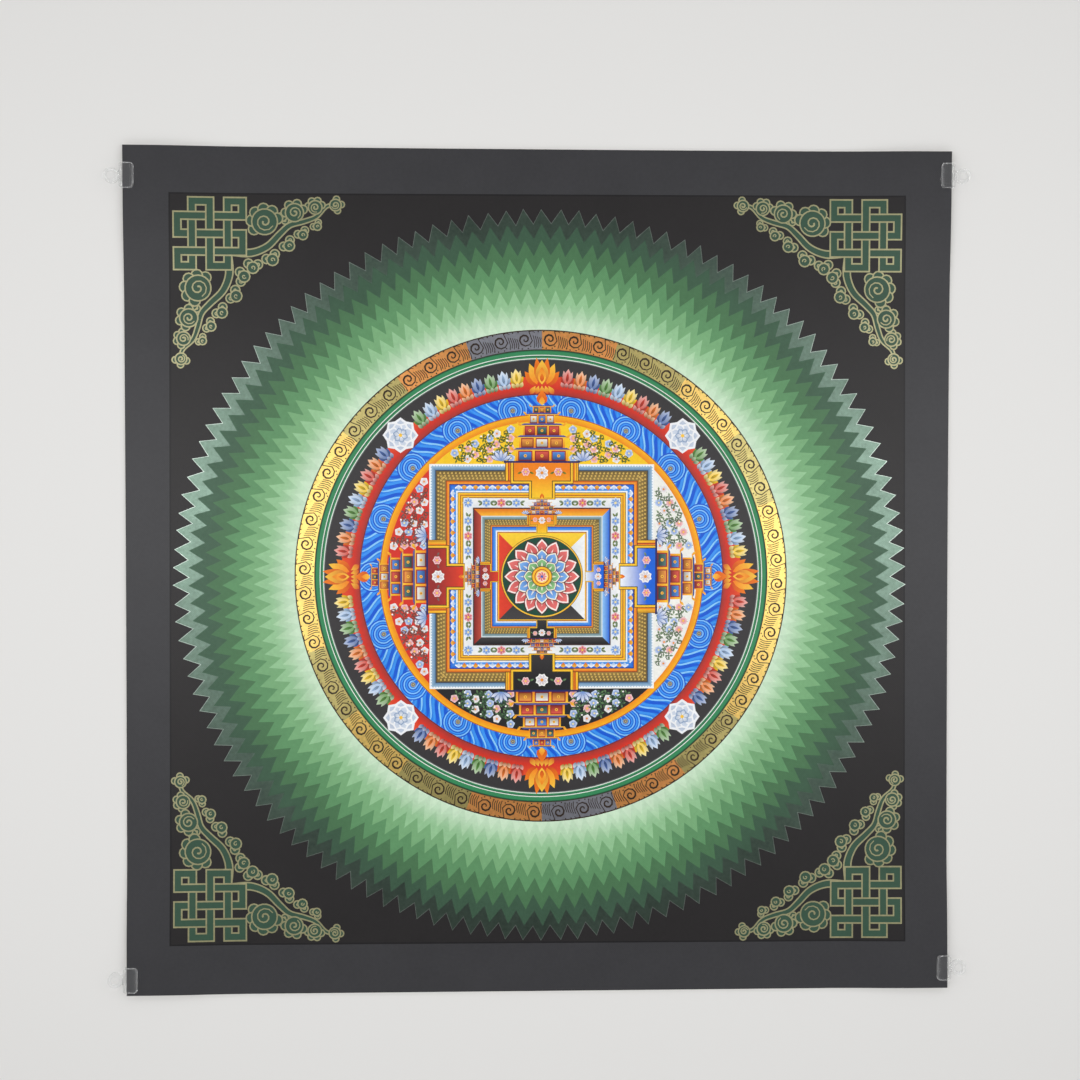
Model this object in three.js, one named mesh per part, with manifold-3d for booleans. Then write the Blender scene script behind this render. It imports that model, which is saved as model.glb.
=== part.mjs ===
// A painted cotton canvas lying face up, held at its side edges by four clear plastic clips.
// Millimetres: +X is the picture's right, +Y its top, +Z points out of the painted face.
// The origin is at the middle of the canvas, on the surface that it lies on.

import * as THREE from "three";
import { mergeVertices } from "three/addons/utils/BufferGeometryUtils.js";
import Module from "manifold-3d";

// The canvas, primed and painted, and how far its edges draw in between the corners
const CANVAS = { width: 660, height: 675, thickness: 1.2 };
const DRAWN_IN = { left: 0.6, right: 1.2, top: 0.5, bottom: 0 };

// The clip: two jaws joined by a bow past the canvas edge, a lip to lift it by, and a round thumb knob
const CLEARANCE = 0.35;
const JAW = { reach: 9, width: 20, thickness: 1.6, corner: 3.2 };
const SLOT = { height: CANVAS.thickness + 2 * CLEARANCE, depthPastEdge: 1 };
const BOW = { reach: 3, radius: 1.9 };
const LIP = { foot: 2.6, crest: 1.1, height: 1.1 };
const KNOB = { radius: 6, centre: 9, edgeRadius: 1.1, rimWidth: 1.3, dish: 1.2 };
const NECK = { start: 1.6, end: 5, width: 6.6, thickness: 3.2 };
const CLIP_HEIGHT = 2 * JAW.thickness + SLOT.height;
const ARC_STEPS = 6;
const KNOB_SIDES = 36;

// Where each clip sits: the side edge that it grips, and how high on that edge
const CLIP_PLACES = [
  { name: "clip_top_left", side: -1, y: 313.5 },
  { name: "clip_top_right", side: 1, y: 318 },
  { name: "clip_bottom_left", side: -1, y: -325 },
  { name: "clip_bottom_right", side: 1, y: -321 },
];

// The lower jaw lies under the canvas, so the canvas rises over it and eases back to the surface
const LIFT = { height: JAW.thickness + CLEARANCE, levelMargin: 10, reach: 80 };

// Spacing of the canvas grid: close where the clips lift it, wide in the flat middle
const GRID = { band: 110, step: 10, middleSpans: 6 };

const wasm = await Module();
wasm.setup();

const paintedCloth = new THREE.MeshStandardMaterial({ color: 0x3d3e41, roughness: 0.75, metalness: 0 });
const clearPlastic = new THREE.MeshStandardMaterial({
  color: 0xe6eaec,
  roughness: 0.15,
  metalness: 0,
  transparent: true,
  opacity: 0.4,
});

function solidFrom(geometry) {
  const bare = geometry.clone();
  bare.deleteAttribute("normal");
  bare.deleteAttribute("uv");
  const merged = mergeVertices(bare, 1e-4);
  return new wasm.Manifold(
    new wasm.Mesh({
      numProp: 3,
      vertProperties: new Float32Array(merged.attributes.position.array),
      triVerts: new Uint32Array(merged.index.array),
    }),
  );
}

function geometryFrom(solid) {
  const mesh = solid.getMesh();
  const geometry = new THREE.BufferGeometry();
  geometry.setAttribute("position", new THREE.BufferAttribute(mesh.vertProperties, 3));
  geometry.setIndex(new THREE.BufferAttribute(mesh.triVerts, 1));
  geometry.computeVertexNormals();
  return geometry;
}

const ease = (t) => t * t * (3 - 2 * t);
const mix = (a, b, t) => a + (b - a) * t;

// How far the canvas stands off the surface at a point: a level patch round each jaw, then a slope
function liftAt(x, y) {
  const lifts = CLIP_PLACES.map((place) => {
    const edge = (place.side * CANVAS.width) / 2;
    const awayX = Math.max(0, Math.abs(x - edge) - JAW.reach - LIFT.levelMargin);
    const awayY = Math.max(0, Math.abs(y - place.y) - JAW.width / 2 - LIFT.levelMargin);
    const share = Math.min(1, Math.hypot(awayX, awayY) / LIFT.reach);
    return LIFT.height * (1 - ease(share));
  });
  return Math.max(...lifts);
}

// Positions across one side of the canvas, from -half to +half
function gridLines(half) {
  const fine = Array.from({ length: GRID.band / GRID.step + 1 }, (_, i) => half - i * GRID.step);
  const inner = half - GRID.band;
  const middle = Array.from(
    { length: GRID.middleSpans - 1 },
    (_, i) => mix(-inner, inner, (i + 1) / GRID.middleSpans),
  );
  return [...fine.map((p) => -p), ...middle, ...fine.reverse()];
}

// A point of the canvas outline or inside it, with each edge drawn in as a shallow curve
function onCanvas(x, y) {
  const halfW = CANVAS.width / 2;
  const halfH = CANVAS.height / 2;
  const hollowX = 1 - (y / halfH) ** 2;
  const hollowY = 1 - (x / halfW) ** 2;
  const left = -halfW + DRAWN_IN.left * hollowX;
  const right = halfW - DRAWN_IN.right * hollowX;
  const bottom = -halfH + DRAWN_IN.bottom * hollowY;
  const top = halfH - DRAWN_IN.top * hollowY;
  return [mix(left, right, x / CANVAS.width + 0.5), mix(bottom, top, y / CANVAS.height + 0.5)];
}

// The canvas: two like grids, the painted face and the back, joined by a strip all round
function canvasGeometry() {
  const xs = gridLines(CANVAS.width / 2);
  const ys = gridLines(CANVAS.height / 2);
  const columns = xs.length;
  const rows = ys.length;
  const positions = [];
  for (const rise of [0, CANVAS.thickness]) {
    for (const y of ys) {
      for (const x of xs) {
        positions.push(...onCanvas(x, y), liftAt(x, y) + rise);
      }
    }
  }
  const back = (i, j) => j * columns + i;
  const face = (i, j) => rows * columns + back(i, j);
  const triangles = [];
  const quad = (a, b, c, d) => triangles.push(a, b, c, a, c, d);
  for (let j = 0; j + 1 < rows; j++) {
    for (let i = 0; i + 1 < columns; i++) {
      quad(face(i, j), face(i + 1, j), face(i + 1, j + 1), face(i, j + 1));
      quad(back(i, j), back(i, j + 1), back(i + 1, j + 1), back(i + 1, j));
    }
  }
  const lastI = columns - 1;
  const lastJ = rows - 1;
  for (let i = 0; i < lastI; i++) {
    quad(back(i, 0), back(i + 1, 0), face(i + 1, 0), face(i, 0));
    quad(back(i + 1, lastJ), back(i, lastJ), face(i, lastJ), face(i + 1, lastJ));
  }
  for (let j = 0; j < lastJ; j++) {
    quad(back(lastI, j), back(lastI, j + 1), face(lastI, j + 1), face(lastI, j));
    quad(back(0, j + 1), back(0, j), face(0, j), face(0, j + 1));
  }
  const geometry = new THREE.BufferGeometry();
  geometry.setAttribute("position", new THREE.Float32BufferAttribute(positions, 3));
  geometry.setIndex(triangles);
  geometry.computeVertexNormals();
  return geometry;
}

// The clip's section across the canvas edge, x outwards and y up: a U with a lip on its upper jaw
function jawSection() {
  const inner = -JAW.reach;
  const slotFloor = JAW.thickness;
  const slotRoof = CLIP_HEIGHT - JAW.thickness;
  const lipTop = CLIP_HEIGHT + LIP.height;
  const bowCentre = BOW.reach - BOW.radius;
  const section = new THREE.Shape();
  section.moveTo(inner, 0);
  section.lineTo(bowCentre, 0);
  section.absarc(bowCentre, BOW.radius, BOW.radius, -Math.PI / 2, 0, false);
  section.lineTo(BOW.reach, CLIP_HEIGHT - BOW.radius);
  section.absarc(bowCentre, CLIP_HEIGHT - BOW.radius, BOW.radius, 0, Math.PI / 2, false);
  section.lineTo(inner + LIP.foot, CLIP_HEIGHT);
  section.lineTo(inner + LIP.crest, lipTop);
  section.lineTo(inner, lipTop);
  section.lineTo(inner, slotRoof);
  section.lineTo(SLOT.depthPastEdge, slotRoof);
  section.lineTo(SLOT.depthPastEdge, slotFloor);
  section.lineTo(inner, slotFloor);
  section.closePath();
  return section;
}

// The jaws seen from above: a rectangle with rounded corners
function jawPlan() {
  const { width, corner } = JAW;
  const inner = -JAW.reach;
  const outer = BOW.reach;
  const half = width / 2;
  const plan = new THREE.Shape();
  plan.moveTo(inner + corner, -half);
  plan.lineTo(outer - corner, -half);
  plan.absarc(outer - corner, -half + corner, corner, -Math.PI / 2, 0, false);
  plan.lineTo(outer, half - corner);
  plan.absarc(outer - corner, half - corner, corner, 0, Math.PI / 2, false);
  plan.lineTo(inner + corner, half);
  plan.absarc(inner + corner, half - corner, corner, Math.PI / 2, Math.PI, false);
  plan.lineTo(inner, -half + corner);
  plan.absarc(inner + corner, -half + corner, corner, Math.PI, 1.5 * Math.PI, false);
  return plan;
}

function jawsSolid() {
  const options = { bevelEnabled: false, curveSegments: ARC_STEPS };
  const across = new THREE.ExtrudeGeometry(jawSection(), { ...options, depth: JAW.width });
  across.rotateX(Math.PI / 2);
  across.translate(0, JAW.width / 2, 0);
  const tall = CLIP_HEIGHT + 2 * LIP.height;
  const plan = new THREE.ExtrudeGeometry(jawPlan(), { ...options, depth: tall });
  plan.translate(0, 0, (CLIP_HEIGHT - tall) / 2);
  return solidFrom(across).intersect(solidFrom(plan));
}

// The thumb knob: a round button with soft edges and a dished top, standing on the surface
function knobSolid() {
  const { radius, edgeRadius, rimWidth, dish } = KNOB;
  const flat = radius - edgeRadius;
  const profile = [new THREE.Vector2(0, 0)];
  for (let i = 0; i <= ARC_STEPS; i++) {
    const turn = ((i / ARC_STEPS) * Math.PI) / 2;
    profile.push(new THREE.Vector2(flat + edgeRadius * Math.sin(turn), edgeRadius * (1 - Math.cos(turn))));
  }
  for (let i = 0; i <= ARC_STEPS; i++) {
    const turn = ((i / ARC_STEPS) * Math.PI) / 2;
    const up = CLIP_HEIGHT - edgeRadius * (1 - Math.sin(turn));
    profile.push(new THREE.Vector2(flat + edgeRadius * Math.cos(turn), up));
  }
  profile.push(new THREE.Vector2(flat - rimWidth, CLIP_HEIGHT - dish));
  profile.push(new THREE.Vector2(0, CLIP_HEIGHT - dish));
  const knob = new THREE.LatheGeometry(profile, KNOB_SIDES);
  knob.rotateX(Math.PI / 2);
  knob.translate(KNOB.centre, 0, 0);
  return solidFrom(knob);
}

function neckSolid() {
  const neck = new THREE.BoxGeometry(NECK.end - NECK.start, NECK.width, NECK.thickness);
  neck.translate((NECK.start + NECK.end) / 2, 0, CLIP_HEIGHT / 2);
  return solidFrom(neck);
}

const painting = new THREE.Group();

const canvas = new THREE.Mesh(canvasGeometry(), paintedCloth);
canvas.name = "canvas";
painting.add(canvas);

const clipGeometry = geometryFrom(jawsSolid().add(neckSolid()).add(knobSolid()));
for (const place of CLIP_PLACES) {
  const clip = new THREE.Mesh(clipGeometry, clearPlastic);
  clip.name = place.name;
  clip.position.set((place.side * CANVAS.width) / 2, place.y, 0);
  clip.rotation.z = place.side > 0 ? 0 : Math.PI;
  painting.add(clip);
}

export default painting;
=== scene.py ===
import math

import bmesh
import bpy
import numpy as np
from mathutils import Matrix, Vector
from mathutils.bvhtree import BVHTree
from mathutils.geometry import delaunay_2d_cdt


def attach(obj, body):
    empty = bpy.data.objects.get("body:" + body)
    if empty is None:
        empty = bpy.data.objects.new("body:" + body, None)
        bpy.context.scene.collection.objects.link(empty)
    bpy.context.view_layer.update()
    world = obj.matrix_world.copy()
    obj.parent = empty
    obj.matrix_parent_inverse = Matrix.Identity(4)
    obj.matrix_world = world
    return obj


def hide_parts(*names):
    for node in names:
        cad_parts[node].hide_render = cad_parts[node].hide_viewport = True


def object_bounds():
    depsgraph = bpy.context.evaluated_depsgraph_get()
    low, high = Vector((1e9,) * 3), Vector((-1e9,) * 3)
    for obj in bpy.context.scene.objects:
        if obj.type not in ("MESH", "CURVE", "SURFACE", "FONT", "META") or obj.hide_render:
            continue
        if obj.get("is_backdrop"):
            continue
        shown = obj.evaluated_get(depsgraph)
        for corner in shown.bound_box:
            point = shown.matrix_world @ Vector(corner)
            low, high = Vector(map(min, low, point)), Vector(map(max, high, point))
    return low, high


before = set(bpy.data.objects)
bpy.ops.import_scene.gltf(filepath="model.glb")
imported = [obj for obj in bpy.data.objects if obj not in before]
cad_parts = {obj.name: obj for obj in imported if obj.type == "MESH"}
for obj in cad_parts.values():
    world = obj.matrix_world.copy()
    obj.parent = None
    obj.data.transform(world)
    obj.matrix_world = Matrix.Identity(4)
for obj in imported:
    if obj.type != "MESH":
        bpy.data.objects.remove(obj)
cad_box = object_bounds()


# Studio: a pale matt floor, soft white light from all round the horizon and two soft boxes to the left
# and right, whose light the gold and silver paint throws back at the sides of the picture.
FLOOR_SIZE = 30.0
FLOOR_COLOUR = (0.8, 0.795, 0.785, 1)
FLOOR_ROUGHNESS = 0.9
SURROUND_STRENGTH = 2.0
SURROUND_TINT = (1, 0.995, 0.985)
SURROUND_STEPS = (
    # height of the direction, brightness there
    (0.0, 0.25), (0.16, 0.42), (0.3, 0.95), (0.42, 0.95), (0.7, 0.01))
SOFT_BOX = {"distance": 0.62, "forward": 0.06, "height": 1.2, "width": 0.46, "length": 0.7, "watts": 4.6}


def set_inputs(tree, made, values):
    for socket, value in values.items() if isinstance(values, dict) else enumerate(values):
        if isinstance(value, bpy.types.NodeSocket):
            tree.links.new(value, made.inputs[socket])
        else:
            made.inputs[socket].default_value = value


def node(tree, kind, values=(), **settings):
    made = tree.nodes.new("ShaderNode" + kind)
    for name, setting in settings.items():
        setattr(made, name, setting)
    set_inputs(tree, made, values)
    return made.outputs


def surface(name):
    material = bpy.data.materials.new(name)
    material.use_nodes = True
    return material, material.node_tree, material.node_tree.nodes["Principled BSDF"]


def placed(name, data):
    thing = bpy.data.objects.new(name, data)
    bpy.context.scene.collection.objects.link(thing)
    return thing


bpy.context.scene.view_settings.view_transform = "Standard"

world = bpy.data.worlds.new("studio")
world.use_nodes = True
sky = world.node_tree
direction = node(sky, "TexCoord")["Generated"]
fade = node(sky, "ValToRGB", [node(sky, "SeparateXYZ", [direction])["Z"]])["Color"]
ramp = fade.node.color_ramp
ramp.interpolation = "EASE"
for step, (height, bright) in enumerate(SURROUND_STEPS):
    stop = ramp.elements[0] if step == 0 else ramp.elements.new(height)
    stop.position = height
    stop.color = (*(bright * share for share in SURROUND_TINT), 1)
ramp.elements.remove(ramp.elements[-1])
set_inputs(sky, sky.nodes["Background"], {"Color": fade, "Strength": SURROUND_STRENGTH})
bpy.context.scene.world = world

for flank in (-1, 1):
    light = bpy.data.lights.new("soft_box", "AREA")
    light.shape = "RECTANGLE"
    light.size = SOFT_BOX["width"]
    light.size_y = SOFT_BOX["length"]
    light.energy = SOFT_BOX["watts"]
    lamp = placed("soft_box", light)
    lamp.location = (flank * SOFT_BOX["distance"], SOFT_BOX["forward"], SOFT_BOX["height"])
    lamp.rotation_euler = (-lamp.location).to_track_quat("-Z", "Y").to_euler()

floor_mesh = bpy.data.meshes.new("floor")
reach = FLOOR_SIZE / 2
floor_mesh.from_pydata(
    [(-reach, -reach, 0), (reach, -reach, 0), (reach, reach, 0), (-reach, reach, 0)], [], [(0, 1, 2, 3)])
floor_paint, tree, shader = surface("floor_paint")
set_inputs(tree, shader, {"Base Color": FLOOR_COLOUR, "Roughness": FLOOR_ROUGHNESS})
floor_mesh.materials.append(floor_paint)
floor = placed("floor", floor_mesh)
floor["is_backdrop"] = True


# Camera: it stands over the canvas and looks down on its face, a degree or two off square,
# with the picture's top edge upwards.
CAMERA_PLACE = (-0.0257, 0.0412, 0.9616)
CAMERA_TURN_DEGREES = (-0.919, -1.499, 0.01)

camera_data = bpy.data.cameras.new("camera")
camera_data.sensor_width = 36
camera_data.lens = 40
camera = placed("camera", camera_data)
camera.location = CAMERA_PLACE
camera.rotation_euler = [math.radians(turn) for turn in CAMERA_TURN_DEGREES]
bpy.context.scene.camera = camera


# Canvas, its cloth and grounds: one piece of primed cotton with a charcoal margin round a black field.
# The picture is laid out in millimetres from the middle of the cloth, as complex numbers: x + 1j * y.
# Each brushed shape covers what was painted before it, and its pigment can melt into a second one.
MM = 0.001
CANVAS = {"width": 660, "height": 675, "thickness": 1.2}
DRAWN_IN = {"left": 0.6, "right": 1.2, "top": 0.5, "bottom": 0.0}
EDGE_STEPS = 48
CHARCOAL = (58, 58, 61)
FIELD_EDGE = (30, 29, 31)
FIELD_BLACK = (39, 37, 38)
FIELD_CORNERS = (-294 + 300.5j, 293 + 302j, 295.5 - 299.5j, -296 - 298j)
FIELD_LINE = 1.3

painted = []


def paint(outline, pigment, gilt=0.0, glow=0.0, melt=None):
    outline = np.asarray(outline, complex)
    following = np.roll(outline, -1)
    area = np.sum(outline.real * following.imag - outline.imag * following.real)
    second, start, end = melt or (pigment, 0, 1)
    painted.append({
        "outline": outline if area > 0 else outline[::-1], "pigment": pigment, "gilt": gilt, "glow": glow,
        "second": second, "start": complex(start), "end": complex(end)})


def cloth_outline():
    half_w, half_h = CANVAS["width"] / 2, CANVAS["height"] / 2
    along = np.linspace(-1, 1, EDGE_STEPS, endpoint=False)
    hollow = 1 - along ** 2
    bottom = along * half_w + 1j * (-half_h + DRAWN_IN["bottom"] * hollow)
    right = half_w - DRAWN_IN["right"] * hollow + 1j * along * half_h
    top = -along * half_w + 1j * (half_h - DRAWN_IN["top"] * hollow)
    left = -half_w + DRAWN_IN["left"] * hollow - 1j * along * half_h
    return np.concatenate([bottom, right, top, left])


def drawn_in(corners, inset):
    corners = np.asarray(corners)
    return corners - inset * (np.sign(corners.real) + 1j * np.sign(corners.imag))


paint(cloth_outline(), CHARCOAL)
paint(FIELD_CORNERS, FIELD_EDGE)
paint(drawn_in(FIELD_CORNERS, FIELD_LINE), FIELD_BLACK)


# Canvas, the halo of light: rings of pointed rays, each ring a lighter green than the one outside it,
# until they melt into white round the mandala. The outermost rays are brushed with silver.
CENTRE = 1.0 - 3.5j
RAYS = 126
RAY_DEPTH = 12.0
RAY_WOBBLE = {"radius": 0.6, "degrees": 0.16}
SILVER = (158, 170, 162)
SILVER_GILT = 0.8
SILVER_LINE = 0.8
HALO_RINGS = (
    # tip radius, green, share of silver
    (293.5, (98, 118, 106), 0.8),
    (281.0, (64, 94, 74), 0.15),
    (268.0, (74, 116, 80), 0.0),
    (254.5, (94, 146, 100), 0.0),
    (241.5, (120, 172, 122), 0.0),
    (229.3, (147, 196, 148), 0.0),
    (218.0, (166, 209, 165), 0.0),
    (208.0, (182, 219, 179), 0.0),
)
GLOW = {"start": 220.0, "full": 194.0, "strength": 0.42, "white": (236, 250, 236)}

hand = np.random.default_rng(11)


def turned(degrees):
    return np.exp(1j * np.radians(degrees))


def rays(tip, wobble, sway):
    steps = np.arange(2 * RAYS)
    radius = np.where(steps % 2 == 0, tip, tip - RAY_DEPTH) + wobble
    return CENTRE + radius * turned(90 + steps * 180 / RAYS + sway)


for ring_number, (tip, green, silver) in enumerate(HALO_RINGS):
    wobble = hand.uniform(-RAY_WOBBLE["radius"], RAY_WOBBLE["radius"], 2 * RAYS)
    sway = hand.uniform(-RAY_WOBBLE["degrees"], RAY_WOBBLE["degrees"], 2 * RAYS)
    if ring_number == 0:
        paint(rays(tip, wobble, sway), SILVER, SILVER_GILT)
        tip -= SILVER_LINE
    paint(rays(tip, wobble, sway), green, silver, 1.0)


# Canvas, the scroll band: the outer circle of the mandala, gold leaf left plain or glazed with slate,
# olive and orange in parts, the same in both halves, with scrolls drawn over it in brown ink.
RING_STEPS = 180
BAND = {"outer": 197.2, "inner": 181.6, "line": 0.9, "parts": 20, "scrolls_per_part": 3}
INK = (50, 34, 22)
GOLD_GLAZE = (240, 204, 116)
OLIVE_GLAZE = (192, 178, 114)
ORANGE_GLAZE = (240, 166, 96)
SLATE_GLAZE = (154, 156, 166)
# The glazes go round in this order so that plain and olive gold falls at the left and right and slate at the
# top and bottom: partly the band's own glazes, partly a painted sheen for the gold those sides throw back
BAND_GLAZES_AND_SHEEN = (SLATE_GLAZE, ORANGE_GLAZE, OLIVE_GLAZE, GOLD_GLAZE, GOLD_GLAZE, GOLD_GLAZE, OLIVE_GLAZE,
               GOLD_GLAZE, OLIVE_GLAZE, ORANGE_GLAZE)
BAND_GILT = 0.66
SCROLL = {"eye": -3.6 + 0.4j, "inner": 0.5, "outer": 5.9, "turns": 1.55, "start": 150, "line": 1.25}
SCROLL_TAIL = (-0.2 + 6.6j, 2.4 + 6.9j, 4.4 + 5.6j)
HATCH = {"lines": 5, "first": 3.4, "step": 1.7, "low": -6.6, "stagger": 0.9, "high": 3.4, "shorter": 0.5}
HATCH_SWAY = np.array([0, 0.7, 0.2, -0.5])
HATCH_LINE = 0.62
DOTS = (-8.6 + 6.4j, -9.4 - 6.2j, -6.4 - 6.9j, -1.4 - 6.8j, 0.6 - 5.2j, 7.0 + 6.4j)
DOT_RADIUS = 0.7


def circle(centre, radius, steps):
    return centre + radius * turned(np.arange(steps) * 360 / steps)


def disc(radius, pigment):
    paint(circle(CENTRE, radius, RING_STEPS), pigment)


def arc_band(inner, outer, start, end, steps=9):
    way = turned(np.linspace(start, end, steps))
    return CENTRE + np.concatenate([outer * way, inner * way[::-1]])


def bent(radius, degrees, strip):
    strip = np.asarray(strip, complex)
    return CENTRE + (radius + strip.imag) * turned(degrees - np.degrees(strip.real / radius))


def spiral(centre, inner, outer, turns, start=0.0, steps=15):
    share = np.linspace(0, 1, steps)
    return centre + (inner + (outer - inner) * share) * turned(start + 360 * turns * share)


def stroke(line, width, pigment, gilt=0.0):
    line = np.asarray(line, complex)
    steps = np.diff(line) / abs(np.diff(line))
    ahead = np.concatenate([steps[:1], steps[1:] + steps[:-1], steps[-1:]])
    reach = np.concatenate([[1], 2 / abs(steps[1:] + steps[:-1]), [1]]).clip(1, 2)
    across = 1j * ahead / abs(ahead) * reach * np.asarray(width) / 2
    paint(np.concatenate([line - across, (line + across)[::-1]]), pigment, gilt)


disc(BAND["outer"], INK)
part_turn = 360 / BAND["parts"]
band_middle = (BAND["outer"] + BAND["inner"]) / 2
curl = spiral(SCROLL["eye"], SCROLL["inner"], SCROLL["outer"], SCROLL["turns"], SCROLL["start"])
scroll_shape = np.concatenate([curl, SCROLL_TAIL])
scroll_line = SCROLL["line"] * np.concatenate([np.linspace(0.6, 1.2, 9), np.linspace(1.1, 0.35, 9)])
for part in range(BAND["parts"]):
    glaze = BAND_GLAZES_AND_SHEEN[part % len(BAND_GLAZES_AND_SHEEN)]
    start = 90 + part_turn * part
    paint(arc_band(BAND["inner"], BAND["outer"] - BAND["line"], start, start + part_turn), glaze, BAND_GILT)
    for scroll in range(BAND["scrolls_per_part"]):
        place = start + part_turn * (scroll + 0.5) / BAND["scrolls_per_part"]
        stroke(bent(band_middle, place, scroll_shape), scroll_line, INK)
        for number in range(HATCH["lines"]):
            x = HATCH["first"] + HATCH["step"] * number
            low = HATCH["low"] + HATCH["stagger"] * (number % 2)
            high = HATCH["high"] - HATCH["shorter"] * number
            hatch = HATCH_SWAY + x + 1j * np.linspace(low, high, len(HATCH_SWAY))
            stroke(bent(band_middle, place, hatch), HATCH_LINE, INK)
        for dot in DOTS:
            paint(circle(bent(band_middle, place, dot), DOT_RADIUS, 4), INK)


# Canvas, the plain circles: green edged with white lines, a black circle, a red one and a blue one,
# each brushed flat with a darker or lighter edge, and a thin orange circle inside them.
GREEN = (52, 136, 88)
GREEN_DARK = (30, 92, 62)
LINE_WHITE = (226, 236, 226)
RING_BLACK = (54, 52, 54)
WATER_BLUE = (34, 128, 232)
PLAIN_CIRCLES = (
    # outer radius, pigment
    (181.6, INK),
    (181.0, GREEN_DARK),
    (180.2, GREEN),
    (177.3, LINE_WHITE),
    (176.6, GREEN_DARK),
    (175.9, GREEN),
    (174.6, LINE_WHITE),
    (173.9, (92, 100, 98)),
    (173.2, RING_BLACK),
)
WATER = {"outer": 145.2, "inner": 128.6, "swirls": 18, "bands": 15}
STREAM = {"half": 9.4, "drift": 13, "start": -6.5}
STREAM_WIDTHS = (1.9, 1.0, 1.5)
STREAM_BLUES = ((14, 90, 214), (140, 204, 250), (58, 148, 242))
SWIRL = {"outer": 12.6, "inner": 1.6, "step": 1.0, "opening": 50, "lean": 3, "foot": 9, "sunk": 2.2}
SWIRL_BLUES = ((12, 84, 208), (132, 198, 250), (26, 112, 226), (62, 152, 242))
EYE_SUNK = 2.4
EYE_RINGS = (
    # radius, steps, pigment
    (2.0, 10, (168, 160, 120)),
    (1.2, 8, (60, 84, 120)),
    (0.6, 6, (214, 190, 120)),
)
MELTING_RINGS = (
    # outer radius, inner radius, pigment at the outer edge, and at the inner edge where it differs
    (160.0, 151.0, (232, 80, 40), (212, 50, 34)),
    (151.0, 146.0, (212, 50, 34), (164, 52, 48)),
    (146.0, 145.2, (110, 40, 46)),
    (129.8, 129.1, (176, 92, 20)),
    (129.1, 124.2, (252, 182, 28), (240, 138, 18)),
)
MELT_PARTS = 48
INNER_DISC = 124.2

for radius, pigment in PLAIN_CIRCLES:
    disc(radius, pigment)
disc(WATER["outer"] + 1, WATER_BLUE)

# The water: a stream of slanting bands, with a swirl in it at even steps round the circle
water_middle = (WATER["outer"] + WATER["inner"]) / 2
swirl_turn = 360 / WATER["swirls"]
fall = np.linspace(0, 1, 8)
swell = 0.6 + 0.8 * np.sin(np.pi * fall)
slant = STREAM["drift"] * fall ** 2 * (3 - 2 * fall) + 1j * (STREAM["half"] - 2 * STREAM["half"] * fall)
for swirl in range(WATER["swirls"]):
    for number in range(WATER["bands"]):
        place = (swirl + number / WATER["bands"]) * swirl_turn
        width, blue = STREAM_WIDTHS[number % 3] * swell, STREAM_BLUES[number % 3]
        stroke(bent(water_middle, place, slant + STREAM["start"]), width, blue)
for swirl in range(WATER["swirls"]):
    place = swirl * swirl_turn
    for crest, radius in enumerate(np.arange(SWIRL["outer"], SWIRL["inner"], -SWIRL["step"])):
        depth = 0.4 * radius + SWIRL["foot"]
        head = radius * turned(np.linspace(-SWIRL["opening"], 180, 14))
        tail = -radius + SWIRL["lean"] * fall[1:] - depth * 1j * fall[1:]
        foot = np.array([radius * math.cos(math.radians(SWIRL["opening"])) - 1j * depth])
        wave = np.concatenate([head, tail, foot]) - 1j * SWIRL["sunk"]
        paint(bent(water_middle, place, wave), SWIRL_BLUES[crest % len(SWIRL_BLUES)])
    for radius, steps, pigment in EYE_RINGS:
        paint(circle(bent(water_middle, place, -1j * EYE_SUNK), radius, steps), pigment)

# The red circle goes over the crests of the waves, and the orange one over their feet
for outer, inner, *pigments in MELTING_RINGS:
    for part in range(MELT_PARTS):
        start = part * 360 / MELT_PARTS
        way = turned(start + 180 / MELT_PARTS)
        paint(arc_band(inner, outer, start, start + 360 / MELT_PARTS, 4), pigments[0],
              melt=(pigments[-1], CENTRE + outer * way, CENTRE + inner * way))


# Canvas, the buds and emblems: lotus buds in six colours stand on the red circle, with a white lotus
# on each diagonal and a flaming jewel at each of the four directions.
BLACK, WHITE = (0, 0, 0), (255, 255, 255)
BUD_COLOURS = ((246, 200, 30), (160, 190, 228), (94, 148, 66), (72, 104, 170), (236, 120, 32),
               (214, 60, 40))
BUDS_BETWEEN = 9
BUD_STEP = 3.8
BUD_RADIUS = 153.2
EMBLEM_RADIUS = 159.6
LOTUS_WHITE = (240, 242, 246)
LOTUS_SHADE = (142, 164, 196)
JEWEL_ORANGE = (242, 128, 24)
JEWEL_DEEP = (206, 70, 22)
JEWEL_GOLD = (252, 200, 66)
LOTUS_GROUND = {"radius": 11.4, "pigment": (112, 136, 176)}
LOTUS_ROSETTES = (
    # size, petals, turn, edge, body, heart
    (14.2, 8, 0.0, LOTUS_WHITE, LOTUS_SHADE, LOTUS_WHITE),
    (10.6, 8, 22.5, LOTUS_WHITE, (176, 194, 220), LOTUS_WHITE),
    (6.2, 6, 0.0, LOTUS_SHADE, LOTUS_WHITE, JEWEL_GOLD),
)
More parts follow.
